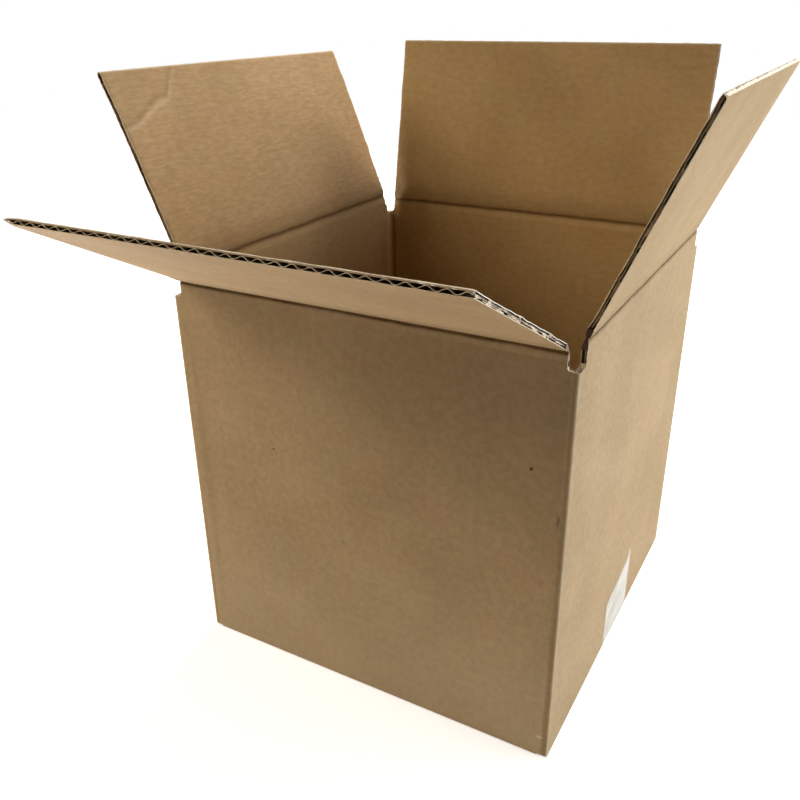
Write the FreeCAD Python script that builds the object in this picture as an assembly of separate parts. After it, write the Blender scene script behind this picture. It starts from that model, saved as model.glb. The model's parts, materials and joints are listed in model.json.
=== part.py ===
import FreeCAD, Part
import math
import os

# An open regular slotted carton of single-wall corrugated board, in millimetres.
# The origin is on the floor, under the middle of the four walls. +X runs to the right along the front wall,
# +Y runs to the back and +Z up. The bottom flaps are shut and taped, the four top flaps stand open.
# Every side is drawn as a front side, hinge line along X and outer face towards -Y, and then turned round Z.

# Board
board = 3.0              # full thickness of the corrugated board
liner = 0.4              # each flat facing
medium = 0.4             # the fluted sheet between the facings, where it touches one of them
flute_pitch = 7.6        # from one crest of the fluted sheet to the next

# Walls
outer_width = 237.0      # along X, over the outer faces
outer_depth = 244.0      # along Y, over the outer faces
fold_radius = 2.2        # outside of the upright folds
inner_fold_radius = 0.8  # inside of the upright folds
low_crease = 243.6       # height of the front and back hinge lines
lap_gap = 0.4            # between the shut front and back flaps and the side flaps over them

# Creases and slots
crease_gap = 0.2         # from a hinge line to the board on either side of it
crush_radius = 2.6       # the facing's round shoulder where it sinks into a crease
slot_front = 6.0         # from a corner to the front and back flaps
slot_side = 9.0          # from a corner to the side flaps
slot_end = 234.4         # height of the foot of the slots
slot_radius = 2.4        # round corners of a slot's foot

# Top flaps, measured from the hinge line to the free edge
front_flap_length = 115.4
side_flap_length = 112.3
lean_front = 62.0        # degrees outward from upright
lean_right = 22.9        # degrees
lean_back = 9.8          # degrees
lean_left = 23.1         # degrees
crushed_root = 7.0       # from the hinge line to where the flutes are whole again

# Bottom flaps
foot_radius = 2.0        # outside of the folds round the bottom
seam_gap = 3.0           # between the free edges of the two outer bottom flaps
inner_seam_gap = 11.0    # between the free edges of the two inner bottom flaps
ramp_gap = 0.3           # from an inner bottom flap's ramp to the outer flaps' side edges

# Glued joint, on the inside of the front wall at the left corner
lap_width = 32.0
lap_thickness = 2.6      # the lap is pressed thinner than the board
lap_taper = 9.0          # how far its ends slope over its width
lap_clear_top = 4.0      # below the foot of the slots
lap_clear_foot = 6.0     # above the bottom flaps

# Packing tape along the bottom seam and up both side walls
tape = 0.1
tape_width = 51.0
tape_centre = 6.5        # its middle stands this far behind the middle of the box
tape_left_end = 42.0     # height of the straight cut end on the left wall
tear_front = 35.0        # height of the torn end on the right wall, at its front edge
tear_back = 42.5         # and at the foot of its spike
tear_tip = 48.6          # tip of the spike
tear_root = 45.5         # at its back edge
spike_width = 7.0        # foot of the spike, from the back edge
spike_lean = 2.0         # tip of the spike, from the back edge

# Cutters run this far past what they cut
over = 1.0

floor_height = tape
high_crease = low_crease + board + lap_gap
front_half_width = outer_width / 2 - slot_front
side_half_width = outer_depth / 2 - slot_side
floor_top = floor_height + 2 * board

FRONT, RIGHT, BACK, LEFT = 0, 90, 180, 270


def along_x(p, q):
    """A flat point (p, q) as a point of the section that is swept along X."""
    return FreeCAD.Vector(0, p, q)


def along_y(p, q):
    """A flat point (p, q) as a point of the section that is swept along Y."""
    return FreeCAD.Vector(p, 0, q)


def along_z(p, q):
    """A flat point (p, q) as a point of the outline that is swept along Z."""
    return FreeCAD.Vector(p, q, 0)


SWEEP = {
    along_x: FreeCAD.Vector(1, 0, 0),
    along_y: FreeCAD.Vector(0, 1, 0),
    along_z: FreeCAD.Vector(0, 0, 1),
}


def round_corner(before, corner, after, radius):
    """The start, middle and end of the arc that rounds one corner of an outline."""
    arm_in = (before - corner).normalize()
    arm_out = (after - corner).normalize()
    half_angle = arm_in.getAngle(arm_out) / 2
    reach = radius / math.tan(half_angle)
    middle = (arm_in + arm_out).normalize() * (radius / math.sin(half_angle) - radius)
    return corner + arm_in * reach, corner + middle, corner + arm_out * reach


def outline(points, place):
    """A closed wire through flat points (p, q) or (p, q, corner radius)."""
    corners = [place(point[0], point[1]) for point in points]
    radii = [point[2] if len(point) > 2 else 0 for point in points]
    edges = []
    starts = []
    for index, corner in enumerate(corners):
        if radii[index] > 0:
            following = corners[(index + 1) % len(corners)]
            start, middle, end = round_corner(corners[index - 1], corner, following, radii[index])
            edges.append(Part.Arc(start, middle, end).toShape())
        else:
            start = end = corner
        starts.append((start, end))
    for index, (_, end) in enumerate(starts):
        edges.append(Part.makeLine(end, starts[(index + 1) % len(starts)][0]))
    return Part.Wire(Part.__sortEdges__(edges))


def prism(points, place, low, high):
    """The solid that an outline sweeps from low to high."""
    sweep = SWEEP[place]
    solid = Part.Face(outline(points, place)).extrude(sweep * (high - low))
    solid.translate(sweep * low)
    return solid


def rectangle(half_p, half_q, radius):
    """A rectangle round the origin with rounded corners."""
    return [(-half_p, -half_q, radius), (half_p, -half_q, radius), (half_p, half_q, radius), (-half_p, half_q, radius)]


def to_side(shape, side):
    """A front side's shape turned and moved to its place at the front, right, back or left."""
    reach = outer_depth / 2 if side in (FRONT, BACK) else outer_width / 2
    turned = shape.copy()
    turned.translate(FreeCAD.Vector(0, -reach, 0))
    turned.rotate(FreeCAD.Vector(0, 0, 0), FreeCAD.Vector(0, 0, 1), side)
    return turned


def wall_ring():
    """The four walls as one ring, folded round at the corners, up to the side walls' rim."""
    outside = rectangle(outer_width / 2, outer_depth / 2, fold_radius)
    inside = rectangle(outer_width / 2 - board, outer_depth / 2 - board, inner_fold_radius)
    base = floor_height + foot_radius
    ring = prism(outside, along_z, base, high_crease)
    return ring.cut(prism(inside, along_z, base - over, high_crease + over))


def rim_cutter(crease, half_width):
    """What is taken off the top of a wall: its inner half is crushed down to the hinge line."""
    rim = crease - crease_gap
    shoulder = rim - board
    foot = shoulder - 2 * crush_radius
    top = high_crease + over
    section = [(-over, top), (-over, rim), (0, rim), (board, shoulder, crush_radius)]
    section += [(board, foot), (board + over, foot), (board + over, top)]
    return prism(section, along_x, -half_width - over, half_width + over)


def slot_cutter(side, corner_reach, half_width):
    """Both halves of the corner slots that lie in one wall, with rounded feet."""
    cutters = []
    for hand in (-1, 1):
        section = [(hand * half_width, high_crease + over), (hand * half_width, slot_end, slot_radius)]
        section += [(hand * (corner_reach + over), slot_end), (hand * (corner_reach + over), high_crease + over)]
        cutters.append(to_side(prism(section, along_y, -over, board + inner_fold_radius), side))
    return cutters


def outer_bottom_flap():
    """The foot of the front wall and the flap that folds under the box from it."""
    reach = outer_depth / 2 - seam_gap / 2
    top = floor_height + 2 * foot_radius + board
    section = [(0, top), (0, floor_height, foot_radius), (reach, floor_height)]
    section += [(reach, floor_height + board), (board, floor_height + board), (board, top)]
    return prism(section, along_x, -front_half_width, front_half_width)


def inner_bottom_flap():
    """The foot of a side wall and its flap, which climbs a ramp to lie over the outer flaps."""
    reach = outer_width / 2 - inner_seam_gap / 2
    top = floor_top + 2 * foot_radius
    ramp_foot = foot_radius + ramp_gap
    ramp_head = slot_front - ramp_gap
    section = [(0, top), (0, floor_height, foot_radius), (ramp_foot, floor_height)]
    section += [(ramp_head, floor_height + board), (reach, floor_height + board), (reach, floor_top)]
    section += [(board, floor_top, inner_fold_radius), (board, top)]
    return prism(section, along_x, -side_half_width, side_half_width)


def glued_lap():
    """The tab of the left wall that is glued to the inside of the front wall, with sloping ends."""
    near = -outer_width / 2 + board
    far = near + lap_width
    low = floor_top + lap_clear_foot
    high = slot_end - lap_clear_top
    section = [(near, low), (far, low + lap_taper), (far, high - lap_taper), (near, high)]
    return to_side(prism(section, along_y, board, board + lap_thickness), FRONT)


def carton():
    """Walls, shut bottom flaps and glued joint: one blank, folded and glued into one piece."""
    feet = [to_side(outer_bottom_flap(), side) for side in (FRONT, BACK)]
    feet += [to_side(inner_bottom_flap(), side) for side in (RIGHT, LEFT)]
    body = wall_ring().fuse(feet + [glued_lap()])
    cutters = []
    for side in (FRONT, BACK):
        cutters.append(to_side(rim_cutter(low_crease, front_half_width), side))
        cutters += slot_cutter(side, outer_width / 2, front_half_width)
    for side in (RIGHT, LEFT):
        cutters.append(to_side(rim_cutter(high_crease, side_half_width - over), side))
        cutters += slot_cutter(side, outer_depth / 2, side_half_width)
    return body.cut(cutters).removeSplitter()


def flute_channel(centre, from_inner, length):
    """One hollow under or over the fluted sheet, from the crushed root out through the free edge."""
    foot_half, flank_half, crest_half = (0.40 * flute_pitch, 0.25 * flute_pitch, 0.08 * flute_pitch)
    foot = liner
    flank = board / 2 - 0.75 * medium
    crest = board - liner - medium
    if from_inner:
        foot, flank, crest = (board - foot, board - flank, board - crest)
    section = [(centre - foot_half, foot), (centre - flank_half, flank), (centre - crest_half, crest)]
    section += [(centre + crest_half, crest), (centre + flank_half, flank), (centre + foot_half, foot)]
    return prism(section, along_z, crushed_root, length + over)


def flap(half_width, length):
    """An upright top flap on the hinge line at the origin, with the flutes open at its free edge."""
    section = [(0, crease_gap), (board, board + crease_gap, crush_radius), (board, length), (0, length)]
    sheet = prism(section, along_x, -half_width, half_width)
    last = math.ceil(half_width / flute_pitch) + 1
    channels = []
    for count in range(-last, last + 1):
        channels.append(flute_channel(count * flute_pitch, False, length))
        channels.append(flute_channel((count + 0.5) * flute_pitch, True, length))
    return sheet.cut(channels)


def top_flap(side, half_width, length, crease, lean):
    """A top flap leaning outward about its hinge line, at its place on the box."""
    shape = flap(half_width, length)
    shape.rotate(FreeCAD.Vector(0, 0, 0), FreeCAD.Vector(1, 0, 0), lean)
    shape.translate(FreeCAD.Vector(0, 0, crease))
    return to_side(shape, side)


def torn_end_cutter():
    """What is missing above the slanted, torn end of the tape on the right wall."""
    front = tape_centre - tape_width / 2
    back = tape_centre + tape_width / 2
    top = tear_tip + over
    section = [(front - over, top), (front - over, tear_front), (front, tear_front)]
    section += [(back - spike_width, tear_back), (back - spike_lean, tear_tip), (back, tear_root)]
    section += [(back + over, tear_root), (back + over, top)]
    return prism(section, along_x, 0, outer_width)


def bottom_tape():
    """One strip of thin clear tape under the bottom seam and up the two side walls."""
    reach = outer_width / 2
    outer_radius = foot_radius + tape
    section = [(-reach - tape, tape_left_end), (-reach - tape, 0, outer_radius), (reach + tape, 0, outer_radius)]
    section += [(reach + tape, tear_tip), (reach, tear_tip), (reach, floor_height, foot_radius)]
    section += [(-reach, floor_height, foot_radius), (-reach, tape_left_end)]
    strip = prism(section, along_y, tape_centre - tape_width / 2, tape_centre + tape_width / 2)
    return strip.cut(torn_end_cutter())


def only_solid(shape):
    """The single solid that a shape holds."""
    solids = shape.Solids
    if len(solids) != 1:
        raise ValueError("a piece came out as %d solids" % len(solids))
    return solids[0]


def pieces():
    """Every separate piece by the name of its node."""
    return {
        "carton": carton(),
        "flap_front": top_flap(FRONT, front_half_width, front_flap_length, low_crease, lean_front),
        "flap_right": top_flap(RIGHT, side_half_width, side_flap_length, high_crease, lean_right),
        "flap_back": top_flap(BACK, front_half_width, front_flap_length, low_crease, lean_back),
        "flap_left": top_flap(LEFT, side_half_width, side_flap_length, high_crease, lean_left),
        "bottom_tape": bottom_tape(),
    }


def main():
    os.makedirs("parts", exist_ok=True)
    for name, shape in pieces().items():
        solid = only_solid(shape)
        solid.exportStep("parts/%s.step" % name)
        print(name, "volume %.0f mm3" % solid.Volume, "faces", len(solid.Faces), "valid", solid.isValid())


main()
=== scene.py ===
import json
import math

import bpy
import numpy as np
from mathutils import Matrix, Vector

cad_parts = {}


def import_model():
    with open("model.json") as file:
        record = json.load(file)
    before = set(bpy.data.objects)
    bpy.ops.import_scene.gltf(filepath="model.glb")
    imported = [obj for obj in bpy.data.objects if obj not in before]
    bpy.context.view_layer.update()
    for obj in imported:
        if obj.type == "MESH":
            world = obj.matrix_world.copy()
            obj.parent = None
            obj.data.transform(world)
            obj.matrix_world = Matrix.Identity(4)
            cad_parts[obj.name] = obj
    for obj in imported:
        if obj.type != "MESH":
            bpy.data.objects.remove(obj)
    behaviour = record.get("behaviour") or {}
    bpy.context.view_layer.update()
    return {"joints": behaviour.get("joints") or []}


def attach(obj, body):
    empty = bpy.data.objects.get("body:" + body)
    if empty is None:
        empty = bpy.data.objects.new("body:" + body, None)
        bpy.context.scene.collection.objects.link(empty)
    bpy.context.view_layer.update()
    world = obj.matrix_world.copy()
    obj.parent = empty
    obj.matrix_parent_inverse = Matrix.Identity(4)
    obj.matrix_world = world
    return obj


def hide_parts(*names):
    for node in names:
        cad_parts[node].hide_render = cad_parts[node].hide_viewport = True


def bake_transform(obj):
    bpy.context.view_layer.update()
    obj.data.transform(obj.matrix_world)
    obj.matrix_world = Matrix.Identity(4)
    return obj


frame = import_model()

# An open corrugated carton. Lengths are in millimetres until a mesh is written, which is in metres.
# u runs along a side's hinge line, v up its blank (wall, crease, flap) and n inward through the board.
# Seen from outside, u runs to the right: +X at the front, +Y at the right, -X at the back, -Y at the left.

MM = 0.001
TINY = 1e-6
UV_SPAN = 100.0          # millimetres to one unit of the UV map
SHARP_DEG = 38           # edges that bend by more stay sharp in the shading

BOARD = 3.0
LINER = 0.3              # one facing
MEDIUM = 0.25            # the fluted sheet between the facings
PITCH = 7.6              # from flute to flute
WIDTH = 237.0            # over the left and right outer faces
DEPTH = 244.0            # over the front and back ones
FLOOR_GAP = 0.1          # the tape under the box
SLOT_FOOT = 234.4        # the height where the slots between the top flaps end
SLOT_RADII = (1.7, 3.0, 3.5, 3.3)      # of the feet of the slots that follow the front, right, back and left side
FOLD_REACH = 4.0         # from a corner to where the upright fold begins
FOLD_RADIUS = 2.2
FOLD_FOOT = 2.1          # the height where the upright folds begin
STRIP = 5.0              # half the height of the strip that bends at a crease
FOOT_TOP = 12.0          # where the fold at the foot of a wall begins
FOOT_IN = 9.0            # and where it ends, under the box
SEAM = 1.5               # half the gap between the outer bottom flaps
INNER_SEAM = 5.5         # half the gap between the inner bottom flaps
TAPE_MIDDLE = 6.5        # along y
TAPE_WIDTH = 51.0

UP = np.array([0.0, 0.0, 1.0])
SIDES = ("front", "right", "back", "left")
HALF = {"front": 112.5, "right": 113.0, "back": 112.5, "left": 113.0}          # half the top flaps' widths
LENGTH = {"front": 115.4, "right": 112.3, "back": 115.4, "left": 112.3}        # from crease to free edge


# Numbers and noise

def smooth(x, low, high):
    """0 up to low, 1 from high on, and a smooth rise between them."""
    t = np.clip((np.asarray(x, float) - low) / (high - low), 0, 1)
    return t * t * (3 - 2 * t)


def noise(x, y, cell_x, cell_y, seed):
    """Smooth noise from -1 to 1 on cells of a given size."""
    table = np.random.default_rng(seed).uniform(-1, 1, (97, 97))
    gx, gy = np.broadcast_arrays(np.asarray(x, float) / cell_x + 31.7, np.asarray(y, float) / cell_y + 17.3)
    ix, iy = np.floor(gx).astype(int), np.floor(gy).astype(int)
    fx, fy = smooth(gx - ix, 0, 1), smooth(gy - iy, 0, 1)
    at = lambda i, j: table[(ix + i) % 97, (iy + j) % 97]
    return (at(0, 0) * (1 - fx) + at(1, 0) * fx) * (1 - fy) + (at(0, 1) * (1 - fx) + at(1, 1) * fx) * fy


def steps(low, high, spacing):
    """Even steps from low to high, about the spacing apart."""
    return np.linspace(low, high, max(2, int(round((high - low) / spacing)) + 1))


def flute(u):
    """Where the fluted sheet stands in the board: 0 at the outer facing, 1 at the inner one."""
    return 0.5 - 0.5 * np.cos(2 * np.pi * np.asarray(u, float) / PITCH)


def rounded(points, radii):
    """A polyline with its inner corners rounded, as dense points."""
    out = [np.array(points[0], float)]
    for i in range(1, len(points) - 1):
        p, a, b = (np.array(points[k], float) for k in (i, i - 1, i + 1))
        r = radii[i]
        if r <= 0:
            out.append(p)
            continue
        da, db = (a - p) / np.linalg.norm(a - p), (b - p) / np.linalg.norm(b - p)
        if np.linalg.norm(da + db) < 0.01:
            out.append(p)
            continue
        half = math.acos(max(-1.0, min(1.0, float(da @ db)))) / 2
        reach = r / math.tan(half)
        start, end = p + da * reach, p + db * reach
        centre = p + (da + db) / np.linalg.norm(da + db) * (r / math.sin(half))
        a0 = math.atan2(*(start - centre)[::-1])
        sweep = (math.atan2(*(end - centre)[::-1]) - a0 + math.pi) % (2 * math.pi) - math.pi
        for t in np.linspace(0, 1, 9):
            out.append(centre + r * np.array([math.cos(a0 + sweep * t), math.sin(a0 + sweep * t)]))
    out.append(np.array(points[-1], float))
    return np.array(out)


def along(path, share):
    """Points of a polyline at shares of its length."""
    length = np.concatenate([[0], np.cumsum(np.linalg.norm(np.diff(path, axis=0), axis=1))])
    at = np.asarray(share, float) * length[-1]
    return np.stack([np.interp(at, length, path[:, 0]), np.interp(at, length, path[:, 1])], -1)


# Meshes

def lattice(columns, rows, keep=None, wrap=False, zone=None):
    """Corner points (column, row, zone) and quads of the cells that keep says stay."""
    index, points, quads = {}, [], []
    last = len(columns) - 1

    def corner(cell, i, j):
        if wrap and i == last:
            i = 0
        key = (i, j, zone(cell, j) if zone else 0)
        if key not in index:
            index[key] = len(points)
            points.append(key)
        return index[key]

    for i in range(last):
        for j in range(len(rows) - 1):
            if keep is None or keep(i, j):
                quads.append([corner(i, a, b) for a, b in ((i, j), (i + 1, j), (i + 1, j + 1), (i, j + 1))])
    return np.array(points, int), quads


class Shell:
    """Collects closed slabs of board and writes them as one mesh."""

    def __init__(self):
        self.verts, self.faces, self.slots, self.uvs, self.tones = [], [], [], [], []
        self.count = 0

    def slab(self, quads, low, high, uv, slots, tone=None, uv_high=None):
        """A slab between two surfaces over the same quads. slots: of the low surface, the high one and the rim."""
        size = len(low)
        self.verts += [np.asarray(low, float), np.asarray(high, float)]
        self.uvs += [np.asarray(uv, float), np.asarray(uv if uv_high is None else uv_high, float)]
        tone = np.zeros(size) if tone is None else np.asarray(tone, float)
        self.tones += [tone, tone]
        edges = dict.fromkeys((a, b) for q in quads for a, b in zip(q, q[1:] + q[:1]))
        base = self.count
        for q in quads:
            self.faces.append([base + k for k in q])
            self.slots.append(slots[0])
            self.faces.append([base + size + k for k in reversed(q)])
            self.slots.append(slots[1])
        for a, b in edges:
            if (b, a) not in edges:
                self.faces.append([base + b, base + a, base + size + a, base + size + b])
                self.slots.append(slots[2])
        self.count += 2 * size

    def build(self, name, materials):
        """The mesh, with the UV map "board" and the attribute "tone" that the materials read."""
        verts = np.concatenate(self.verts) * MM
        uvs = np.concatenate(self.uvs) / UV_SPAN
        tones = np.concatenate(self.tones)
        mesh = bpy.data.meshes.new(name)
        mesh.from_pydata(verts.tolist(), [], self.faces)
        mesh.update()
        loops = np.zeros(len(mesh.loops), int)
        mesh.loops.foreach_get("vertex_index", loops)
        layer = mesh.uv_layers.new(name="board")
        layer.data.foreach_set("uv", uvs[loops].astype(np.float32).ravel())
        tone = mesh.attributes.new("tone", "FLOAT", "POINT")
        tone.data.foreach_set("value", tones.astype(np.float32))
        for material in materials:
            mesh.materials.append(material)
        mesh.polygons.foreach_set("material_index", np.array(self.slots, np.int32))
        mesh.shade_smooth()
        mesh.set_sharp_from_angle(angle=math.radians(SHARP_DEG))
        mesh.update()
        ob = bpy.data.objects.new(name, mesh)
        bpy.context.scene.collection.objects.link(ob)
        return ob


# Materials

class Nodes:
    """A material and short ways to add nodes to it. Values are numbers, colours or sockets."""

    def __init__(self, name):
        self.material = bpy.data.materials.new(name)
        self.material.use_nodes = True
        self.tree = self.material.node_tree
        self.shader = self.tree.nodes["Principled BSDF"]

    def node(self, kind, **values):
        made = self.tree.nodes.new(kind)
        for key, value in values.items():
            setattr(made, key, value)
        return made

    def put(self, socket, value):
        if isinstance(value, bpy.types.NodeSocket):
            self.tree.links.new(value, socket)
        else:
            socket.default_value = value

    def fill(self, node, values):
        for key, value in values.items():
            self.put(node.inputs[key], value)
        return node

    def board_uv(self):
        return self.node("ShaderNodeUVMap", uv_map="board").outputs["UV"]

    def tone(self):
        return self.node("ShaderNodeAttribute", attribute_name="tone").outputs["Fac"]

    def math(self, operation, a, b=0.0, clamp=False):
        return self.fill(self.node("ShaderNodeMath", operation=operation, use_clamp=clamp), {0: a, 1: b}).outputs[0]

    def mix(self, factor, a, b, blend="MIX"):
        made = self.node("ShaderNodeMix", data_type="RGBA", blend_type=blend)
        return self.fill(made, {0: factor, 6: a, 7: b}).outputs[2]

    def vector(self, operation, a, b=(0.0, 0.0, 0.0)):
        return self.fill(self.node("ShaderNodeVectorMath", operation=operation), {0: a, 1: b})

    def scaled(self, vector, x, y, z=1.0):
        return self.vector("MULTIPLY", vector, (x, y, z)).outputs[0]

    def parts(self, vector):
        return self.fill(self.node("ShaderNodeSeparateXYZ"), {0: vector}).outputs

    def noise(self, vector, scale, detail=3.0, rough=0.55, distort=0.0):
        made = self.node("ShaderNodeTexNoise")
        values = {"Vector": vector, "Scale": scale, "Detail": detail, "Roughness": rough, "Distortion": distort}
        return self.fill(made, values).outputs["Fac"]

    def ramp(self, value, low, high, to_low=0.0, to_high=1.0):
        made = self.node("ShaderNodeMapRange", interpolation_type="SMOOTHSTEP")
        values = {"Value": value, "From Min": low, "From Max": high, "To Min": to_low, "To Max": to_high}
        return self.fill(made, values).outputs["Result"]

    def bump(self, height, strength):
        made = self.node("ShaderNodeBump")
        return self.fill(made, {"Strength": strength, "Distance": 0.0002, "Height": height}).outputs[0]


def kraft(name, pale, deep, mottle, streak, flute_shade, flat=(1.0, 0.9), marks=()):
    """Unbleached kraft facing: cloudy colour, fibres that lie across the flutes, faint flute lines that are painted
    shade of the washboard ripple, and specks.

    marks: running length, height, width and height of the mark, depth, colour.
    """
    m = Nodes(name)
    uv = m.board_uv()
    cloud = m.noise(uv, 1.7, 3.0, 0.5, 0.3)
    blotch = m.noise(m.scaled(uv, *flat), 26.0, 4.0, 0.62, 0.4)
    fibre = m.noise(m.scaled(uv, 0.45, 1.0), 130.0, 3.0, 0.65)
    grain = m.noise(uv, 330.0, 2.0, 0.6)
    factor = m.math("ADD", m.ramp(cloud, 0.3, 0.7, 0.15, 0.5), m.ramp(blotch, 0.3, 0.7, -0.5 * mottle, 0.5 * mottle))
    factor = m.math("ADD", factor, m.ramp(fibre, 0.25, 0.75, -0.5 * streak, 0.5 * streak))
    # Painted shade: faint lighter and darker lines at the flutes' pitch stand for the shading of the facing's
    # washboard ripple.
    wave = m.math("COSINE", m.math("MULTIPLY", m.parts(uv)[0], 2 * math.pi * UV_SPAN / PITCH))
    broken = m.noise(m.scaled(uv, 1.0, 0.35), 9.0, 2.0)
    wave = m.math("MULTIPLY", wave, m.ramp(broken, 0.4, 0.65, 0.0, flute_shade))
    factor = m.math("ADD", factor, wave, clamp=True)
    colour = m.mix(factor, (*deep, 1), (*pale, 1))
    redder = m.mix(1.0, colour, (1.05, 0.97, 0.95, 1), "MULTIPLY")
    colour = m.mix(m.ramp(m.noise(uv, 4.5, 2.0, 0.5), 0.35, 0.65, 0.0, 0.5), colour, redder)
    cells = m.fill(m.node("ShaderNodeTexVoronoi", feature="F1"), {"Vector": uv, "Scale": 22.0})
    chance = m.fill(m.node("ShaderNodeSeparateColor"), {0: cells.outputs["Color"]}).outputs[0]
    speck = m.math("MULTIPLY", m.ramp(cells.outputs["Distance"], 0.05, 0.11, 1.0, 0.0),
                   m.ramp(chance, 0.90, 0.93, 0.0, 0.55))
    colour = m.mix(speck, colour, (0.10, 0.06, 0.03, 1))
    for at_u, at_v, wide, high, depth, paint in marks:
        away = m.vector("SUBTRACT", uv, (at_u / UV_SPAN, at_v / UV_SPAN, 0)).outputs[0]
        size = m.vector("LENGTH", m.scaled(away, UV_SPAN / wide, UV_SPAN / high, 0.0)).outputs["Value"]
        edge = m.math("ADD", size, m.ramp(fibre, 0.2, 0.8, -0.3, 0.3))
        colour = m.mix(m.ramp(edge, 0.45, 1.05, depth, 0.0), colour, (*paint, 1))
    # tone above 0 darkens the colour, mostly as painted shade in creases, corners and under the flaps; below 0 it
    # pales it, as worn fibres and painted highlights.
    tone = m.tone()
    darker = m.mix(1.0, colour, (0.34, 0.28, 0.20, 1), "MULTIPLY")
    colour = m.mix(m.math("MULTIPLY", tone, 1.0, clamp=True), colour, darker)
    colour = m.mix(m.math("MULTIPLY", tone, -1.0, clamp=True), colour, (0.92, 0.80, 0.58, 1))
    height = m.math("ADD", m.math("MULTIPLY", fibre, 0.6), m.math("MULTIPLY", grain, 0.25))
    height = m.math("ADD", height, m.math("MULTIPLY", blotch, 0.6))
    m.fill(m.shader, {"Base Color": colour, "Roughness": m.ramp(fibre, 0.2, 0.8, 0.79, 0.93),
                      "Specular IOR Level": 0.22, "Normal": m.bump(height, 0.28)})
    return m.material


def raw_edge(name, pale, deep):
    """Cut or torn board: loose pale fibres over darker ones."""
    m = Nodes(name)
    uv = m.board_uv()
    fuzz = m.noise(uv, 70.0, 4.0, 0.7)
    patch = m.noise(uv, 16.0, 2.0, 0.5)
    factor = m.math("ADD", m.ramp(fuzz, 0.3, 0.7, 0.0, 0.6), m.ramp(patch, 0.3, 0.7, 0.0, 0.4), clamp=True)
    factor = m.math("SUBTRACT", factor, m.math("MULTIPLY", m.tone(), 1.0, clamp=True), clamp=True)
    m.fill(m.shader, {"Base Color": m.mix(factor, (*deep, 1), (*pale, 1)),
                      "Roughness": m.ramp(patch, 0.3, 0.7, 0.82, 0.95),
                      "Specular IOR Level": 0.15, "Normal": m.bump(fuzz, 0.5)})
    return m.material


def clear_tape():
    """Clear packing tape, clouded where it hasn't wetted the board."""
    m = Nodes("clear_tape")
    uv = m.board_uv()
    haze = m.noise(m.scaled(uv, 1.0, 0.4), 6.0, 2.0, 0.5, 0.4)
    streak = m.noise(m.scaled(uv, 0.25, 1.0), 40.0, 2.0, 0.5)
    cover = m.math("ADD", m.ramp(haze, 0.35, 0.7, 0.28, 0.42), m.math("MULTIPLY", m.tone(), 0.36), clamp=True)
    m.fill(m.shader, {"Base Color": m.mix(haze, (0.80, 0.74, 0.60, 1), (0.92, 0.87, 0.74, 1)), "Alpha": cover,
                      "Roughness": m.ramp(streak, 0.3, 0.7, 0.38, 0.50), "Specular IOR Level": 0.35})
    return m.material


OUTER = kraft("kraft_outer", (0.53, 0.38, 0.207), (0.38, 0.267, 0.136), 0.42, 0.22, 0.03, marks=(
    (213.5, 181.0, 1.3, 1.1, 0.9, (0.05, 0.035, 0.025)), (58.5, 152.0, 1.0, 0.9, 0.8, (0.06, 0.04, 0.03)),
    (103.5, 103.0, 0.9, 0.8, 0.7, (0.07, 0.05, 0.03)), (228.6, 156.0, 1.2, 4.0, 0.55, (0.10, 0.08, 0.06)),
    (228.0, 15.0, 2.4, 1.4, 0.7, (0.75, 0.64, 0.48)), (359.0, 224.0, 1.0, 0.9, 0.6, (0.10, 0.07, 0.045))))
INNER = kraft("kraft_inner", (0.58, 0.41, 0.20), (0.41, 0.28, 0.124), 0.36, 0.12, 0.03, (0.7, 1.1))
INNER_MOTTLED = kraft("kraft_inner_mottled", (0.58, 0.39, 0.192), (0.41, 0.267, 0.118), 0.58, 0.2, 0.03, (0.5, 1.9))
CUT = raw_edge("kraft_cut_edge", (0.90, 0.78, 0.56), (0.52, 0.38, 0.23))
FLUTED = raw_edge("fluted_medium", (0.36, 0.26, 0.16), (0.20, 0.14, 0.085))
CRUSHED = raw_edge("crushed_board", (0.50, 0.37, 0.24), (0.20, 0.13, 0.075))
# Pale frayed edge, lightened near to white as a painted highlight where the free edge faces the light.
LIP = raw_edge("frayed_edge_painted_highlight", (0.99, 0.94, 0.79), (0.90, 0.81, 0.62))
# Painted shade: near-black board for flute openings that lie in shadow.
HOLLOW = raw_edge("shaded_flutes", (0.10, 0.065, 0.045), (0.03, 0.02, 0.015))
BOARD_SLOTS = [OUTER, INNER, CUT, FLUTED, CRUSHED, HOLLOW, LIP]
IS_OUTER, IS_INNER, IS_CUT, IS_FLUTED, IS_CRUSHED, IS_HOLLOW, IS_LIP = range(7)
INNER_SHIFT = (4000.0, 0.0)          # keeps the inner facing's pattern apart from the outer one's


# Sides and hinges

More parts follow.
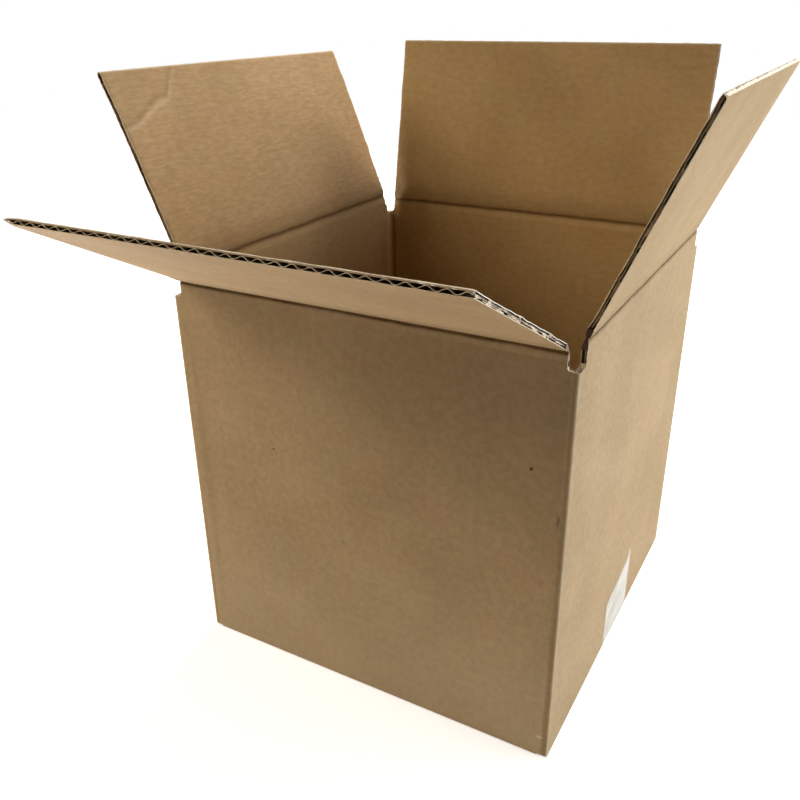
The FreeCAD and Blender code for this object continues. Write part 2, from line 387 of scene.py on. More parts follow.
class Side:
    """One of the four walls with its hinge and top flap."""

    def __init__(self, turn):
        self.name = SIDES[turn]
        self.turn = turn
        joint = next(j for j in frame["joints"] if j["name"] == self.name + "_flap_hinge")
        self.hinge = np.array(joint["pos_m"], float) / MM
        self.axis = np.array(joint["axis"], float)
        self.out = np.cross(self.axis, UP)
        self.lean = math.radians(-90 - joint["range_deg"][0])
        self.rise = UP * math.cos(self.lean) + self.out * math.sin(self.lean)
        self.inner = -self.out * math.cos(self.lean) + UP * math.sin(self.lean)
        self.half = HALF[self.name]
        self.length = LENGTH[self.name]
        self.reach = DEPTH / 2 if turn % 2 == 0 else WIDTH / 2      # to the outer face
        self.span = WIDTH / 2 if turn % 2 == 0 else DEPTH / 2       # to the corners, along u
        self.crease = self.hinge[2]
        self.body = "flap_" + self.name

    def wall(self, u, inward, z):
        """A point of the side given along its wall, inward from its outer face, and up."""
        u, inward, z = np.broadcast_arrays(*(np.asarray(x, float) for x in (u, inward, z)))
        base = self.out * self.reach
        return base + self.axis * u[..., None] - self.out * inward[..., None] + UP * z[..., None]

    def flap(self, u, v, n):
        """A point of the top flap: along the hinge, up from it, and inward from the outer face."""
        u, v, n = np.broadcast_arrays(*(np.asarray(x, float) for x in (u, v, n)))
        return self.hinge + self.axis * u[..., None] + self.rise * v[..., None] + self.inner * n[..., None]

    def narrowed(self, u, v):
        """The left side is cut 2.5 mm short at the back where its crease is."""
        if self.name != "left":
            return u
        return u + 2.5 * smooth(-u, 100, self.half) * smooth(v, -10, -5) * (1 - smooth(v, -2, 60))


SIDE = [Side(turn) for turn in range(4)]
CORNER_RUN = 2 * (FOLD_REACH - FOLD_RADIUS) + math.pi / 2 * FOLD_RADIUS


# The ring of walls with the bottom flaps

def ring_columns():
    """Columns round the box: (running length, side, u, share of the corner's fold or -1 on a panel)."""
    columns, start = [], 0.0
    for side in SIDE:
        end = side.span - FOLD_REACH
        beside_slot = [-side.half - x for x in (3.2, 2.3, 1.5, 0.9, 0.4) if side.half + x < end - 0.1]
        left = [-end] + beside_slot
        us = np.concatenate([left, steps(-side.half, side.half, PITCH / 4), [-x for x in reversed(left)]])
        columns += [(start + end + u, side.turn, u, -1.0) for u in us]
        start += 2 * end
        shares = np.linspace(0, 1, 15)[1:-1]
        columns += [(start + s * CORNER_RUN, side.turn, side.span, s) for s in shares]
        start += CORNER_RUN
    columns.append((start, 0, -(SIDE[0].span - FOLD_REACH), -1.0))
    return columns


COLUMNS = ring_columns()
RUN = np.array([c[0] for c in COLUMNS])
TURN = np.array([c[1] for c in COLUMNS])
COL_U = np.array([c[2] for c in COLUMNS])
SHARE = np.array([c[3] for c in COLUMNS])

LOW_TOP = SIDE[0].crease - STRIP
HIGH_TOP = SIDE[1].crease - STRIP
OUTER_EDGE = -(DEPTH / 2 - SEAM)
INNER_EDGE = -(WIDTH / 2 - INNER_SEAM)
ROWS = np.unique(np.round(np.concatenate([
    [OUTER_EDGE, OUTER_EDGE + 3, INNER_EDGE, INNER_EDGE + 3], steps(INNER_EDGE + 3, -FOOT_IN, 13),
    steps(-FOOT_IN, FOOT_TOP, 1.5), [FOLD_FOOT], steps(FOOT_TOP, 222, 11),
    [227, 231, 233, SLOT_FOOT, 236.2, 237.4, LOW_TOP, (LOW_TOP + HIGH_TOP) / 2, HIGH_TOP]]), 4))


def ring_place(points, depth):
    """Positions of the lattice's points at a depth from the outer face."""
    column, row, zone = points.T
    v = ROWS[row].copy()
    out = np.zeros((len(points), 3))
    radius = max(1.5 - 0.25 * depth, 0.8)
    for turn, side in enumerate(SIDE):
        here = TURN[column] == turn
        corner = here & (SHARE[column] >= 0)
        panel = here & (SHARE[column] < 0)
        u = COL_U[column]
        z = slot_foot(v, u, side, column)
        flat = panel & ((v >= FOOT_TOP) | (zone == 1))
        out[flat] = side.wall(side.narrowed(u, v - side.crease)[flat], depth, z[flat])
        if corner.any():
            face = side.span - depth
            path = rounded([(side.span - FOLD_REACH, depth), (face, depth), (face, FOLD_REACH)], [0, radius, 0])
            at = along(path, SHARE[column[corner]])
            out[corner] = side.wall(at[:, 0], at[:, 1], z[corner])
        level = FLOOR_GAP + depth + (BOARD if turn % 2 else 0)
        under = panel & (v < -FOOT_IN)
        out[under] = side.wall(u[under], -v[under], level)
        fold = panel & (v >= -FOOT_IN) & (v < FOOT_TOP) & (zone == 0)
        tight = max(2.0 - 0.5 * depth, 0.4)
        if turn % 2:
            foot = FLOOR_GAP + 2 * depth
            path = rounded([(depth, FOOT_TOP), (depth, foot), (2.3 + 0.4 * depth, foot), (5.7, level),
                            (FOOT_IN, level)], [0, min(tight, 1.9 - 0.4 * depth), 0.4, 0.8, 0])
        else:
            path = rounded([(depth, FOOT_TOP), (depth, level), (FOOT_IN, level)], [0, tight, 0])
        at = along(path, (FOOT_TOP - v[fold]) / (FOOT_TOP + FOOT_IN))
        out[fold] = side.wall(u[fold], at[:, 0], at[:, 1])
    return out


def slot_foot(v, u, side, column):
    """Heights round a slot: its foot is rounded and ragged, and the cut edges above it keep clear of it."""
    edge = (np.abs(u) >= side.half - TINY) & (v > SLOT_FOOT - TINY)
    foot = SLOT_FOOT + slot_rise(RUN[column])
    top = side.crease - STRIP
    share = np.clip((v - SLOT_FOOT) / (top - SLOT_FOOT), 0, 1)
    return np.where(edge, foot + (top - foot) * share, v)


def slot_rise(run):
    """How far the foot of a slot stands above its lowest height, at running lengths round the box."""
    edges, radii = [], []
    for other in SIDE:
        mine = (TURN == other.turn) & (SHARE < 0)
        for hand in (-1, 1):
            edges.append(RUN[np.where(mine & (np.abs(COL_U - hand * other.half) < TINY))[0][0]])
            radii.append(SLOT_RADII[other.turn if hand > 0 else other.turn - 1])
    away = np.abs(run[:, None] - np.array(edges)[None, :])
    near, radius = away.min(axis=1), np.array(radii)[away.argmin(axis=1)]
    bend = radius - np.sqrt(np.maximum(radius ** 2 - np.maximum(radius - near, 0) ** 2, 0))
    return 0.92 * bend - 0.2 * smooth(near, 1.0, 4.0) + 0.22 * noise(run, 0, 0.8, 1, 5) * smooth(near, 0, 1)


def ring_relief(points, inner):
    """How far a facing sags between the crests of the flutes, and the walls' slight waviness."""
    column, row, _ = points.T
    v, u, turn = ROWS[row], COL_U[column], TURN[column]
    side_half = np.where(turn % 2 == 0, SIDE[0].half, SIDE[1].half)
    crease = np.where(turn % 2 == 0, LOW_TOP, HIGH_TOP)
    clear = smooth(side_half - np.abs(u), 0.5, 7) * smooth(crease - v, 0, 7) * (SHARE[column] < 0)
    clear *= smooth(v, FOOT_TOP, FOOT_TOP + 8) + smooth(-v, FOOT_IN, FOOT_IN + 8)
    sag = flute(u + (PITCH / 2 if inner else 0))
    patch = 0.65 + 0.35 * noise(RUN[column], v, 26, 60, 8 + inner)
    rough = noise(RUN[column], v, 5.5, 16, 18 + inner)
    from_tape = np.abs(np.where(turn == 1, u, -u) - TAPE_MIDDLE)
    taped = (turn % 2 == 1) * (1 - smooth(from_tape, 27, 36)) * (1 - smooth(v, 50, 64))
    clear = clear * (1 - taped)          # the tape's ends hold the facing flat
    bow = noise(RUN[column], v, 70, 90, 3) * clear * (v > 0)
    return clear * (0.02 * sag * patch + 0.015 * rough) * (-1 if inner else 1) + 0.35 * bow


def shift_inward(points, amount):
    """Moves of the ring's points into the box."""
    column, row, _ = points.T
    v, turn = ROWS[row], TURN[column]
    outward = np.array([side.out for side in SIDE])[turn]
    return np.where((v < 0)[:, None], UP * amount[:, None], -outward * amount[:, None])


def ring_tone(points, inner):
    """Painted shade in the inner corners, beside the outer folds and on the front wall under its flap, and a pale line
    of worn fibres and painted highlight along the outer folds: above 0 darkens, below 0 pales.
    """
    column, row, _ = points.T
    v, u, turn, share = ROWS[row], COL_U[column], TURN[column], SHARE[column]
    tone = np.zeros(len(v))
    if inner:
        middles = np.array([run_of(side, side.span - FOLD_REACH) + CORNER_RUN / 2 for side in SIDE])
        total = RUN[-1]
        past = (RUN[column][:, None] - middles[None, :] + total / 2) % total - total / 2
        past = past[np.arange(len(past)), np.argmin(np.abs(past), axis=1)]
        wave = 1 + 0.3 * noise(v, 0, 20, 1, 46)
        # Painted shade: a dark line beside each inner corner, with a painted highlight on its other side.
        lines = 0.60 * np.exp(-((past + 5.2) / 1.5) ** 2) - 0.22 * np.exp(-((past - 6.4) / 3.0) ** 2)
        return tone + lines * wave * (v > 6)
    folded = (share >= 0) * (v > 2)
    # Along each upright fold: a pale line, part worn fibres and part painted highlight, with a band of painted shade
    # beside it.
    wear_and_highlight = np.exp(-((share - 0.58) / 0.07) ** 2) * folded
    band = np.exp(-((share - 0.28) / 0.17) ** 2) * folded
    tone = tone - wear_and_highlight * (0.22 + 0.14 * noise(v, 0, 6, 1, 44)) + 0.30 * band
    # Painted shade on the front wall under its flap, deepest at the top right, and painted light towards its foot.
    shade = 0.10 * smooth(v, 140, 235) + 0.22 * smooth(v, 90, 235) * smooth(u, -20, 110)
    return tone + (turn == 0) * (share < 0) * (shade - 0.16 * (1 - smooth(v, 0, 130)))


def carton():
    def middle_u(i):
        """Where a column of cells lies along its side; the folds lie at the side's end."""
        return (COL_U[i] + COL_U[i + 1]) / 2 if SHARE[i] < 0 and SHARE[i + 1] < 0 else SIDE[TURN[i]].span

    def keep(i, j):
        v = (ROWS[j] + ROWS[j + 1]) / 2
        side = SIDE[TURN[i]]
        if abs(middle_u(i)) >= side.half:
            return FOLD_FOOT < v < SLOT_FOOT
        low, high = (OUTER_EDGE, LOW_TOP) if side.turn % 2 == 0 else (INNER_EDGE, HIGH_TOP)
        return low < v < high

    def zone(i, row):
        """1 beside the bottom flaps, where the wall goes straight down and not round the fold at its foot."""
        return int(abs(middle_u(i)) > SIDE[TURN[i]].half and ROWS[row] < FOOT_TOP - TINY)

    points, quads = lattice(RUN, ROWS, keep, wrap=True, zone=zone)
    uv = np.stack([RUN[points[:, 0]], ROWS[points[:, 1]]], -1)
    made = []
    for name, low, high, inner in (("carton_outer_facing", 0.0, LINER, 0),
                                   ("carton_inner_facing", BOARD - LINER, BOARD, 1)):
        shift = shift_inward(points, ring_relief(points, inner))
        shell = Shell()
        slots = (IS_FLUTED, IS_INNER, IS_INNER) if inner else (IS_OUTER, IS_FLUTED, IS_CUT)
        shell.slab(quads, ring_place(points, low) + shift, ring_place(points, high) + shift,
                   uv + (INNER_SHIFT if inner else (0, 0)), slots, ring_tone(points, inner))
        if not inner:
            wall_flutes(shell)
            slot_feet(shell)
        made.append(shell.build(name, BOARD_SLOTS))
    for piece in made:
        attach(piece, "box")
    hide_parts("carton")


def sheet(place, u, v, wave, low, room):
    """The two faces of the fluted sheet.

    place: a side's wall or flap, wave: where u stands in the flutes, low: the depth of the outer crests' middle.
    """
    n = low + room * flute(wave)
    slope = room * np.pi / PITCH * np.sin(2 * np.pi * wave / PITCH)
    run = np.sqrt(1 + slope ** 2)
    across, through = MEDIUM / 2 * slope / run, MEDIUM / 2 / run
    return place(u + across, v, n - through), place(u - across, v, n + through)


def wall_flutes(shell):
    """The fluted sheet where the slots lay it open."""
    for side in SIDE:
        top = side.crease - STRIP + 0.5
        for hand in (-1, 1):
            us = np.sort(hand * np.linspace(side.half - 0.25, side.half - 10, 34))
            rows = np.array([205.0, 220.0, 235.0, top])
            points, quads = lattice(us, rows)
            u, v = us[points[:, 0]], rows[points[:, 1]]
            faces = sheet(lambda a, b, n: side.wall(a, n, b), u, v, u, LINER + MEDIUM / 2, BOARD - 2 * LINER - MEDIUM)
            # On the right the open flutes take the near-black board, painted shade.
            body = IS_HOLLOW if side.name == "right" else IS_FLUTED
            shell.slab(quads, *faces, np.stack([u, v], -1), (body, body, IS_CUT))


def slot_feet(shell):
    """The crushed board in the foot of each slot."""
    shares = np.linspace(0, 1, 41)
    rows = np.array([226.0, 230.0, SLOT_FOOT - 0.25])
    points, quads = lattice(shares, rows)
    share, v = shares[points[:, 0]], rows[points[:, 1]]
    for side in SIDE:
        after = SIDE[(side.turn + 1) % 4]
        gap, turn_gap = side.span - side.half, after.span - after.half
        run = run_of(side, side.half) + share * ((gap - FOLD_REACH) + CORNER_RUN + (turn_gap - FOLD_REACH))
        lift = (points[:, 1] == 2) * (slot_rise(run) + 0.25 * noise(run, 3, 0.6, 1, 61))
        ends = []
        for depth in (0.25, 2.75):
            face = side.span - depth
            path = rounded([(side.half, depth), (face, depth), (face, turn_gap)], [0, max(1.5 - 0.25 * depth, 0.8), 0])
            at = along(path, share)
            ends.append(side.wall(at[:, 0], at[:, 1], v + lift))
        tone = 0.35 * smooth(noise(run, v, 0.9, 0.9, 62), 0, 0.8)
        shell.slab(quads, *ends, np.stack([run, v], -1), (IS_CRUSHED, IS_CRUSHED, IS_CUT), tone * 0.5)


def glued_lap():
    """The left wall's tab, glued to the inside of the front wall."""
    side = SIDE[0]
    reach, slant, thickness = 32.0, 9.0, 2.6
    ps, qs = np.linspace(0, 1, 12), np.linspace(0, 1, 24)
    points, quads = lattice(ps, qs)
    p, q = ps[points[:, 0]], qs[points[:, 1]]
    low, high = 12.1 + slant * p, SLOT_FOOT - 4.0 - slant * p
    u = -side.span + BOARD + reach * p + 0.25 * noise(q * 200, 0, 3, 1, 71) * (p > 0.99)
    z = low + (high - low) * q
    top = BOARD + thickness - 0.5 * smooth(p, 0.93, 1.0)
    shell = Shell()
    uv = np.stack([u + 900, z], -1)      # a stretch of the pattern that no wall has
    shell.slab(quads, side.wall(u, BOARD - 0.05, z), side.wall(u, top, z), uv, (IS_INNER, IS_INNER, IS_CUT))
    piece = shell.build("glued_lap", BOARD_SLOTS)
    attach(piece, "box")


# Creases

def crease_strip(side):
    """The bent strip between a wall and its flap: the facing folded outside, the board crushed inside."""
    us = steps(-side.half, side.half, PITCH / 4)
    fine = np.array([0, 0.25, 0.5, 0.75, 1.0, 1.3, 1.7, 2.1, 2.6, 3.1, 3.6, 4.1, 4.5, STRIP])
    ts = np.concatenate([-fine[:0:-1], fine])
    points, quads = lattice(us, ts)
    u, t = us[points[:, 0]], ts[points[:, 1]]
    half_turn = np.clip((t + 1) / 2, 0, 1)
    straight = side.rise * np.maximum(t, 0)[:, None] + UP * np.minimum(t, 0)[:, None]
    bent = -UP * ((1 - half_turn) ** 2)[:, None] + side.rise * (half_turn ** 2)[:, None]
    line = np.where((np.abs(t) < 1)[:, None], bent, straight)
    base = side.hinge + side.axis * side.narrowed(u, t)[:, None] + line
    angle = side.lean * smooth(t, -1.2, 1.2)
    normal = -side.out * np.cos(angle)[:, None] + UP * np.sin(angle)[:, None]
    seed = 80 + side.turn
    wander = 0.35 * noise(u, 0, 11, 1, seed) + 0.2 * noise(u, 0, 3.8, 1, seed + 10)
    groove = (0.45 + 0.15 * noise(u, 0, 7, 1, seed + 20)) * np.exp(-((t - wander) / 0.8) ** 2)
    puff = 0.14 * np.exp(-((np.abs(t) - 2.6) / 1.1) ** 2) * (0.6 + 0.4 * noise(u, t, 6, 3, seed + 30))
    outer = groove - puff
    press = (0.85 + 0.15 * noise(u, 0, 9, 1, seed + 40)) * (1 - smooth(np.abs(t), 0.0, STRIP))
    dint = (0.65 + 0.15 * noise(u, 0, 5, 1, seed + 50)) * np.exp(-((t - 0.3 - 0.5 * wander) / 1.0) ** 2)
    inner = BOARD - press - dint
    share = smooth(t, -STRIP, STRIP)
    # Painted shade: a dark line in the crease's groove, outside and inside, darker towards the flap; on the front the
    # wall side starts darker, under its flap.
    deep = 0.85 if side.name == "right" else 1.3
    start = 0.10 if side.name == "front" else 0.0
    tone_out = deep * np.exp(-((t - wander + 0.3) / 1.15) ** 2) + start + (0.22 - start) * share
    tone_in = 0.8 * np.exp(-((t - 0.3 - 0.5 * wander) / 1.1) ** 2) + 0.33 * share
    uv = np.stack([run_of(side, u), side.crease + t], -1)
    shell = Shell()
    # On the right the crease's cut side takes the near-black board, painted shade.
    shell.slab(quads, base + normal * outer[:, None], base + normal * inner[:, None], uv,
               (IS_OUTER, IS_INNER, IS_HOLLOW if side.name == "right" else IS_CRUSHED), tone_out, uv + INNER_SHIFT)
    shell.tones[1] = tone_in
    piece = shell.build("crease_" + side.name, BOARD_SLOTS)
    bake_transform(piece)


def run_of(side, u):
    """The running length round the box at u on a side."""
    start = RUN[np.where((TURN == side.turn) & (SHARE < 0))[0][0]]
    return start + side.span - FOLD_REACH + np.asarray(u, float)


# Top flaps. By side: how loud the facings' unevenness is, how far the free edge flares open, by how much the inner
# and the outer facing thicken to a lip there, and how bare the cut sides are rubbed.

LOUD = {"front": 1.0, "right": 0.9, "back": 1.2, "left": 1.7}
FLARE = {"front": 0.15, "right": -0.3, "back": -0.5, "left": -0.6}
LIPS = {"front": (0.95, 0.0), "right": (0.0, 1.5), "back": (0.4, 0.2), "left": (0.3, 0.3)}
RUBBED = {"front": 0.35, "right": 0.1, "back": 0.5, "left": 0.3}


def dent(side, u, v):
    """The left flap's bent corner: how far the board stands out of its plane, inward above 0."""
    if side.name != "left":
        return np.zeros(np.broadcast(u, v).shape)
    beyond, fade = dent_line(u, v)
    ridge = 0.26 * np.exp(-np.maximum(-beyond, 0) / 2.2) * np.exp(-np.maximum(beyond, 0) / 0.9)
    trough = 0.42 * np.exp(-((beyond - 2.2) / 1.4) ** 2)
    return (ridge - trough) * fade - 0.02 * np.maximum(beyond, 0)


def dent_line(u, v):
    """How far a point lies beyond the bent corner's line, and how strongly the line is marked there."""
    line_u = np.array([120.0, 109.7, 100.4, 94.0, 83.0, 72.6, 66.0, 59.1, 50.0])
    line_v = np.array([81.0, 80.4, 83.3, 86.5, 92.2, 94.0, 103.0, 111.5, 116.0])
    at = np.interp(-u, -line_u, line_v)
    wander = 0.8 * noise(u, v, 5, 5, 92)
    beyond = (v - at) * 0.84 + wander
    fade = (0.8 + 0.2 * noise(u, v, 8, 8, 93)) * smooth(u, 50, 66) * (1 - 0.6 * smooth(v, 92, 103))
    return beyond, fade


def flap_faces(side, u, v):
    """Depths of the outer facing's outer side and of the inner facing's inner side."""
    seed = 100 + 10 * side.turn
    free, beside = side.length - v, side.half - np.abs(u)
    clear = smooth(v, STRIP, STRIP + 6)
    loud = smooth(np.minimum(beside, free), 0.5, 5) * clear * LOUD[side.name]
    out_sag = loud * (0.02 * flute(u) * (0.65 + 0.35 * noise(u, v, 24, 50, seed))
                      + 0.015 * noise(u, v, 5, 12, seed + 1))
    in_sag = loud * (0.015 * (1 - flute(u)) * (0.6 + 0.4 * noise(u, v, 18, 30, seed + 2))
                     + 0.05 * noise(u, v, 8, 4.5, seed + 3))
    # The waves stand inward on the front and back flaps and outward on the others, so that the shut flaps keep clear
    away = 1 if side.turn % 2 == 0 else smooth(v, side.length, side.length - 30) - 1
    bow = 0.2 * (1 + noise(u, v, 80, 60, seed + 4)) * clear * away + dent(side, u, v) * clear
    crush = 1 - smooth(free, 0.0, 2.4)
    flare = FLARE[side.name] + 0.12 * noise(u, 0, 9, 1, seed + 5)
    press = (0.35 + 0.3 * noise(v, u > 0, 6, 1, seed + 6)) * (1 - smooth(beside, 0.0, 1.8)) * clear
    pinch = 0.0
    if side.name == "front":             # its left corner is pinched shut
        pinch = (1 - smooth(u, -side.half, -side.half + 9)) * (1 - smooth(free, 0.0, 6))
    low = out_sag + bow - 0.6 * flare * crush + 1.2 * pinch
    low = np.maximum(low, -0.9 * free * math.tan(side.lean))           # inside the outline of the plain flap
    return low, BOARD - in_sag + bow - press + flare * crush - 0.55 * pinch


def flap_tone(side, inner, u, v):
    """Painted shade near the crease and across the front and right flaps' outer faces, pale wear at the cut edges, and
    painted shade and a painted highlight along the left flap's bent corner.
    """
    free, beside = side.length - v, side.half - np.abs(u)
    tone = 0.22 * (1 - smooth(v, STRIP, 22)) ** 2
    if not inner:
        # Painted shade: the front flap's outer face darker to the right, the right flap's towards its free edge.
        shade = 0.0
        if side.name == "front":
            shade = 0.13 * smooth(u, -40, 110)
        elif side.name == "right":
            shade = 0.13 * smooth(v, 20, 110) - 0.6 * tone
        return tone + shade - 0.2 * (1 - smooth(beside, 0.1, 0.8)) - 0.3 * (1 - smooth(free, 0.1, 0.6))
    tone = tone * 1.5 - 0.9 * (1 - smooth(free, 0.2, 1.3))
    tone = tone - RUBBED[side.name] * (1 - smooth(beside, 0.1, 0.7))
    if side.name == "left":
        # Painted shade just beyond the bent corner's line and over the corner, a painted highlight just before the
        # line.
        beyond, fade = dent_line(u, v)
        tone = tone + 0.36 * fade * np.exp(-((beyond - 1.5) / 1.3) ** 2)
        tone = tone - 0.22 * fade * np.exp(-((beyond + 1.3) / 1.4) ** 2)
        tone = tone + 0.07 * smooth(beyond, 0, 5) * smooth(u, 45, 60)
    return tone


def flap_board(side):
    """A top flap: two facings with the fluted sheet between them."""
    seed = 200 + 10 * side.turn
    front, left = side.name == "front", side.name == "left"
    edge_u = np.array([0.0, 0.35, 0.8, 1.4])
    us = np.concatenate([-side.half + edge_u, steps(-side.half + 2.2, side.half - 2.2, 1.3 if left else PITCH / 4),
                         (side.half - edge_u)[::-1]])
    vs = np.concatenate([steps(STRIP, side.length - 4, 1.5 if left else 2.6),
                         side.length - np.array([3.0, 2.3, 1.7, 1.2, 0.8, 0.4, 0.0])])
    points, quads = lattice(us, vs)
    u, v = us[points[:, 0]], vs[points[:, 1]]
    free = side.length - v
    at_end = points[:, 1] == len(vs) - 1
    at_side = (points[:, 0] == 0) | (points[:, 0] == len(us) - 1)
    low, high = flap_faces(side, u, v)
    lip = 1 - smooth(free, 0.0, 1.3)
    ragged = 1 + (0.08 if front else 0.35) * noise(u, 0, 2.1, 1, seed + 4)
    lip_in, lip_out = (most * lip * ragged for most in LIPS[side.name])
    uv = np.stack([run_of(side, u), side.crease + v], -1)
    shell = Shell()
    # The front flap's inner rim and the right flap's outer rim take the near-white frayed edge, partly a painted
    # highlight.
    for inner in (0, 1):
        if inner:
            a, b, crease_a, crease_b = high - LINER - lip_in, high, BOARD - LINER, BOARD
            slots = (IS_FLUTED, IS_INNER, IS_LIP if front else IS_CUT)
        else:
            a, b, crease_a, crease_b = low, low + LINER + lip_out, 0.0, LINER
            slots = (IS_OUTER, IS_FLUTED, IS_LIP if side.name == "right" else IS_CUT)
        a = np.where(v <= STRIP + TINY, crease_a, a)
        b = np.where(v <= STRIP + TINY, crease_b, b)
        fray_v = at_end * ((0.05 if inner and front else 0.16) * noise(u, 0, 1.9, 1, seed + inner) - 0.18)
        fray_u = -np.sign(u) * at_side * (0.12 + 0.22 * noise(v, u > 0, 2.2, 1, seed + 2 + inner))
        v_high = v
        if front and inner:              # the lip is rolled back, so that it shows from in front
            v_high = np.where(free < 1.7, side.length - 1.7 + (1.7 - free) * 0.12, v)
        elif front:                      # and the left corner is worn off
            fray_u = fray_u + at_side * (u < 0) * 0.5 * (1 - smooth(v, 74, 80))
        place = side.narrowed(u, v) + fray_u
        shell.slab(quads, side.flap(place, v + fray_v, a), side.flap(place, v_high + fray_v, b),
                   uv + (INNER_SHIFT if inner else (0, 0)), slots, flap_tone(side, inner, u, v))
    flap_flutes(shell, side, seed)
    for hand in (-1, 1):
        torn_flute(shell, side, hand, seed)
    piece = shell.build("flap_%s_board" % side.name, BOARD_SLOTS)
    if left:
        piece.data.materials[IS_INNER] = INNER_MOTTLED
    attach(piece, side.body)
    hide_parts("flap_" + side.name)


def flap_flutes(shell, side, seed):
    """The fluted sheet, which shows at the free edge."""
    us = steps(-side.half + 0.7, side.half - 0.7, PITCH / 14)
    middle = steps(50.0, side.length - 5, 1.6 if side.name == "left" else 30.0)
    vs = np.concatenate([[STRIP + 0.5, 20.0], middle, side.length - np.array([2.4, 1.2, 0.25])])
    points, quads = lattice(us, vs)
    u, v = us[points[:, 0]], vs[points[:, 1]]
    low, high = flap_faces(side, u, v)
    lip = (1 - smooth(side.length - v, 0.0, 1.5)) * 1.15
    lip_in, lip_out = (most * lip for most in LIPS[side.name])
    room = np.maximum(high - low - 2 * LINER - MEDIUM - lip_in - lip_out, 0.1)
    wobble = 0.35 * noise(u, 0, 15, 1, seed + 8)
    fray = (points[:, 1] == len(vs) - 1) * 0.2 * noise(u, 0, 1.3, 1, seed + 9)
    faces = sheet(side.flap, u, v + fray, u + wobble, low + LINER + MEDIUM / 2 + lip_out, room)
    shell.slab(quads, *faces, np.stack([u, v], -1), (IS_FLUTED, IS_FLUTED, IS_CUT))


def torn_flute(shell, side, hand, seed):
    """Scraps of the fluted sheet that stand in the board's cut side."""
    pale = side.name == "front"
    vs, ns = steps(STRIP + 2, side.length - 1.5, 1.1), np.linspace(0.0, 1.0, 7)
    mid_v, mid_n = ((vs[:-1] + vs[1:]) / 2)[:, None], ((ns[:-1] + ns[1:]) / 2)[None, :]
    torn = noise(mid_v, mid_n * 3, 4.5, 0.9, seed + 11 + hand)
    torn = torn + 0.5 * noise(mid_v, mid_n, 1.6, 0.4, seed + 13 + hand) + 0.7 * np.abs(mid_n - 0.35)
    points, quads = lattice(vs, ns, lambda i, j: torn[i, j] < (-0.15 if pale else -0.05))
    if not quads:
        return
    v, share = vs[points[:, 0]], ns[points[:, 1]]
    u = hand * (side.half - 0.55 - 0.4 * noise(v, share * 3, 2.5, 0.8, seed + 15 + hand))
    low, high = flap_faces(side, u, v)
    n = low + LINER + (high - low - 2 * LINER) * share
    if hand > 0:
        quads = [q[::-1] for q in quads]
    tone = (0.25 if pale else 0.6) + 0.4 * noise(v, share, 3, 0.7, seed + 17 + hand)
    body = IS_CUT if pale else IS_CRUSHED
    shell.slab(quads, side.flap(u, v, n), side.flap(u + hand * 0.18, v, n), np.stack([v, share * 2], -1),
               (body, body, body), tone)


# Tape

def bottom_tape():
    """The strip under the bottom seam and up both walls, torn off on the right one."""
    reach, half = WIDTH / 2, TAPE_WIDTH / 2
    left_end, top = 42.0, 48.6
    under, over = 0.03, 0.095            # its two faces, off the board
    near_tip = [18.5, 21, 22.5, 23.5, 24.4, 25.1]
    ys = np.unique(np.round(np.concatenate([steps(-half, half, 2.2), near_tip]), 3))
    tear = np.interp(ys, [-half, 18.5, 23.5, half], [35.0, 42.5, top, 45.5])
    tear = tear + 0.35 * noise(ys, 0, 2.0, 1, 301) * (np.abs(ys - 23.5) > 0.8)
    shares = np.concatenate([np.linspace(0, 0.126, 14), np.linspace(0.132, 0.150, 14), np.linspace(0.16, 0.835, 26),
                             np.linspace(0.842, 0.862, 14), np.linspace(0.87, 1.0, 22)])
    points, quads = lattice(shares, ys)
    share, y, limit = shares[points[:, 0]], ys[points[:, 1]], tear[points[:, 1]]
    faces = []
    for lift in (under, over):
        corners = [(-reach - lift, left_end), (-reach - lift, FLOOR_GAP - lift), (reach + lift, FLOOR_GAP - lift),
                   (reach + lift, top)]
        x, z = along(rounded(corners, [0, 1.8 + lift, 1.8 + lift, 0]), share).T
        z = np.where((x > reach - 0.5) & (z > 12), 12 + (z - 12) * (limit - 12) / (top - 12), z)
        faces.append(np.stack([x, y + TAPE_MIDDLE, z], -1))
    low, high = faces
    cloud = smooth(low[:, 0], reach - 2, reach - 0.5) * (0.8 + 0.2 * noise(y, share * 500, 9, 12, 303))
    shell = Shell()
    shell.slab([q[::-1] for q in quads], high, low, np.stack([share * 320, y], -1), (0, 0, 0), cloud)
    piece = shell.build("clear_tape_strip", [clear_tape()])
    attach(piece, "box")
    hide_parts("bottom_tape")


carton()
glued_lap()
for one in SIDE:
    crease_strip(one)
    flap_board(one)
bottom_tape()


# Floor, light and camera

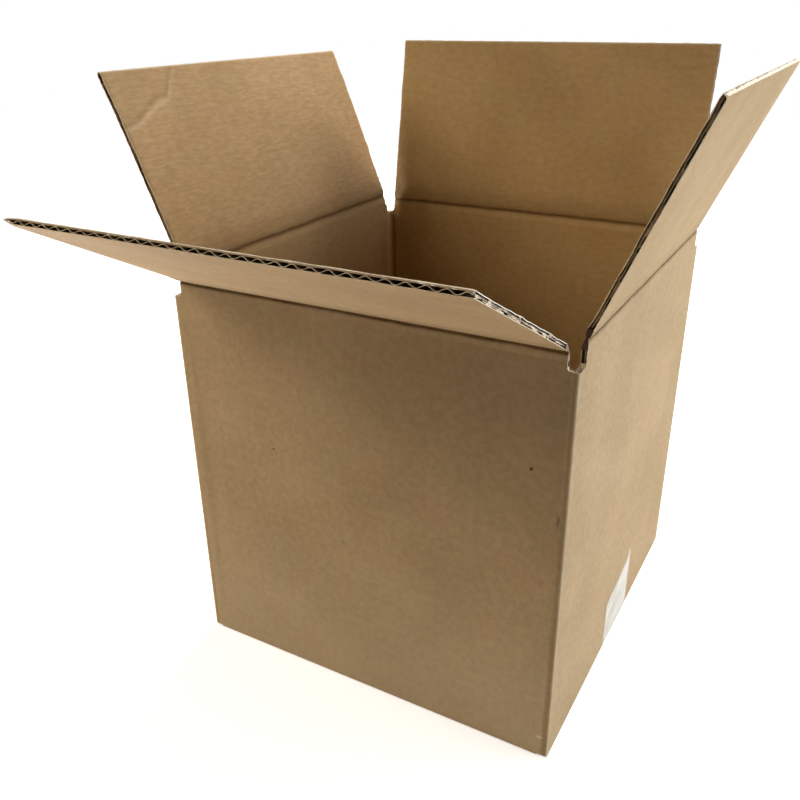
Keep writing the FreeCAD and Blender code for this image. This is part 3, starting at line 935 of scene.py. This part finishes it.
def floor():
    """A white floor. It glows for the camera and in reflections only, and not under the box."""
    bpy.ops.mesh.primitive_plane_add(size=6.0, location=(0, 0, -0.0002))
    ob = bpy.context.object
    ob.name = "floor"
    m = Nodes("floor_white")
    m.fill(m.shader, {"Base Color": (0.87, 0.85, 0.79, 1), "Roughness": 0.9, "Specular IOR Level": 0.1})
    place = m.node("ShaderNodeTexCoord").outputs["Object"]
    away = m.vector("LENGTH", place).outputs["Value"]
    x, y, _ = m.parts(place)
    reach_x = m.math("DIVIDE", m.math("ABSOLUTE", x), (WIDTH / 2 - 2) * MM)
    reach_y = m.math("DIVIDE", m.math("ABSOLUTE", y), (DEPTH / 2 - 2) * MM)
    clear_of_box = m.ramp(m.math("MAXIMUM", reach_x, reach_y), 0.98, 1.0)
    strength = m.math("MULTIPLY", m.ramp(away, 0.2, 0.6, 0.55, 1.0), clear_of_box)
    glow = m.fill(m.node("ShaderNodeEmission"), {"Strength": strength}).outputs[0]
    rays = m.node("ShaderNodeLightPath").outputs
    mirrored = m.math("MAXIMUM", rays["Is Glossy Ray"], rays["Is Transmission Ray"])
    seen = m.math("MAXIMUM", rays["Is Camera Ray"], mirrored)
    plain = m.shader.outputs[0]
    both = m.fill(m.node("ShaderNodeAddShader"), {0: plain, 1: glow}).outputs[0]
    pick = m.fill(m.node("ShaderNodeMixShader"), {0: seen, 1: plain, 2: both}).outputs[0]
    m.put(m.tree.nodes["Material Output"].inputs["Surface"], pick)
    ob.data.materials.append(m.material)


def world():
    """White for the camera and for reflections; the lamps alone light the box."""
    made = bpy.data.worlds.new("studio")
    bpy.context.scene.world = made
    made.use_nodes = True
    tree = made.node_tree
    rays = tree.nodes.new("ShaderNodeLightPath")
    seen = tree.nodes.new("ShaderNodeMath")
    seen.operation = "MAXIMUM"
    tree.links.new(rays.outputs["Is Camera Ray"], seen.inputs[0])
    tree.links.new(rays.outputs["Is Glossy Ray"], seen.inputs[1])
    back = tree.nodes["Background"]
    back.inputs["Color"].default_value = (1, 1, 1, 1)
    tree.links.new(seen.outputs[0], back.inputs["Strength"])


def softbox(name, place, target, size, power, colour):
    """A rectangular lamp that faces its target. Places and sizes are in metres, the power is in watts."""
    data = bpy.data.lights.new(name, "AREA")
    data.shape = "RECTANGLE"
    data.size, data.size_y = size
    data.energy = power
    data.color = colour
    ob = bpy.data.objects.new(name, data)
    bpy.context.scene.collection.objects.link(ob)
    ob.location = place
    ob.rotation_euler = (Vector(target) - Vector(place)).to_track_quat("-Z", "Y").to_euler()
    ob.visible_camera = False


def camera():
    """The camera that was fitted to the photo's corners and edges."""
    azimuth, elevation, roll = (math.radians(x) for x in (29.60, 25.19, -0.65))
    focal_px, photo_px, sensor = 842.9, 800, 36.0
    back = Vector((math.sin(azimuth) * math.cos(elevation), -math.cos(azimuth) * math.cos(elevation),
                   math.sin(elevation)))
    right = Vector((math.cos(azimuth), math.sin(azimuth), 0))
    up = back.cross(right)
    x = right * math.cos(roll) + up * math.sin(roll)
    y = up * math.cos(roll) - right * math.sin(roll)
    data = bpy.data.cameras.new("camera")
    data.sensor_width = sensor
    data.lens = sensor * focal_px / photo_px
    ob = bpy.data.objects.new("camera", data)
    bpy.context.scene.collection.objects.link(ob)
    turn = Matrix((x, y, back)).transposed().to_4x4()
    place = (0.21723, -0.45586, 0.38215)
    ob.matrix_world = Matrix.Translation(place) @ turn
    bpy.context.scene.camera = ob


floor()
world()
softbox("right", (1.5, 0.3, 0.5), (0, 0, 0.14), (1.4, 1.2), 20.9, (0.98, 1.10, 1.35))
softbox("back", (0.1, 1.2, 1.0), (0, 0, 0.12), (0.9, 0.9), 23.5, (1.10, 0.99, 0.84))
softbox("left", (-0.9, -0.7, 1.1), (0, 0, 0.12), (0.7, 0.7), 10.4, (1.12, 0.98, 0.80))
softbox("low", (-0.5, -0.15, 0.05), (-0.1, -0.17, 0.2), (0.12, 0.1), 1.7, (1.04, 1.0, 1.02))
camera()

scene = bpy.context.scene
scene.view_settings.view_transform = "Standard"
